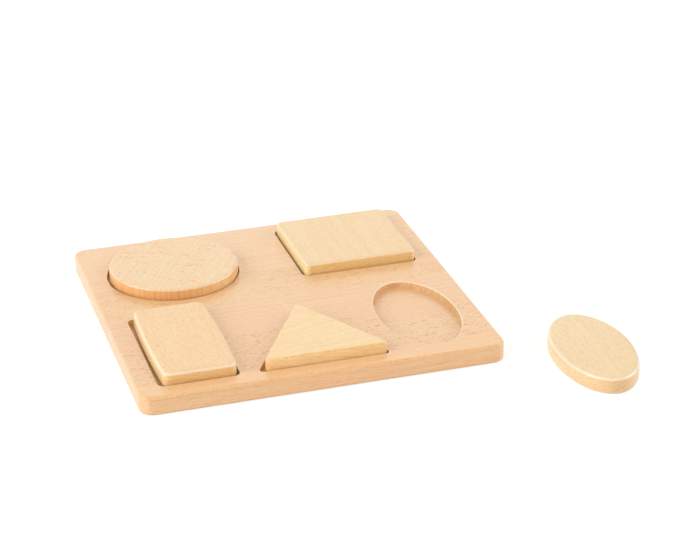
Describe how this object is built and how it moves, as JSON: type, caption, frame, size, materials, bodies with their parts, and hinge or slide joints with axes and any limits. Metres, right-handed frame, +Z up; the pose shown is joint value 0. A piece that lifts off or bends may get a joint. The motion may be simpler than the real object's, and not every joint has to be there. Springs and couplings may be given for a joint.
{
  "type": "shape board",
  "caption": "Flat wooden board with shallow recesses and the loose wooden shapes that fit them, for a small child's sorting play.",
  "frame": {"origin": "centre of the board's underside, in the plane of the table it rests on", "axes": "+Z up through the board's thickness, +X to the right along its front edge, +Y from the front edge to the back edge"},
  "size_m": [0.3974, 0.3761, 0.0248],
  "materials": {
    "beech_stave_1": "sanded bare beech, matte",
    "beech_stave_2": "sanded bare beech, matte",
    "beech_stave_3": "sanded bare beech, matte",
    "beech_stave_4": "sanded bare beech, matte",
    "beech_stave_5": "sanded bare beech, matte",
    "beech_stave_6": "sanded bare beech, matte",
    "beech_disc": "sanded bare beech, matte",
    "beech_square": "sanded bare beech, matte",
    "beech_rectangle": "sanded bare beech, matte",
    "beech_triangle": "sanded bare beech, matte",
    "beech_oval": "sanded bare beech, matte"
  },
  "bodies": {
    "board": {"board_stave_1": "beech_stave_1", "board_stave_2": "beech_stave_2", "board_stave_3": "beech_stave_3", "board_stave_4": "beech_stave_4", "board_stave_5": "beech_stave_5", "board_stave_6": "beech_stave_6"},
    "disc": {"disc_piece": "beech_disc"},
    "square": {"square_piece": "beech_square"},
    "rectangle": {"rectangle_piece": "beech_rectangle"},
    "triangle": {"triangle_piece": "beech_triangle"},
    "oval": {"oval_piece": "beech_oval"}
  },
  "joints": [
    {"name": "disc_lift", "type": "slide", "parent": "board", "child": "disc", "axis": [0, 0, 1], "range_m": [0, 0.05]},
    {"name": "square_lift", "type": "slide", "parent": "board", "child": "square", "axis": [0, 0, 1], "range_m": [0, 0.05]},
    {"name": "rectangle_lift", "type": "slide", "parent": "board", "child": "rectangle", "axis": [0, 0, 1], "range_m": [0, 0.05]},
    {"name": "triangle_lift", "type": "slide", "parent": "board", "child": "triangle", "axis": [0, 0, 1], "range_m": [0, 0.05]},
    {"name": "oval_lift", "type": "slide", "parent": "board", "child": "oval", "axis": [0, 0, 1], "range_m": [0, 0.05]}
  ]
}
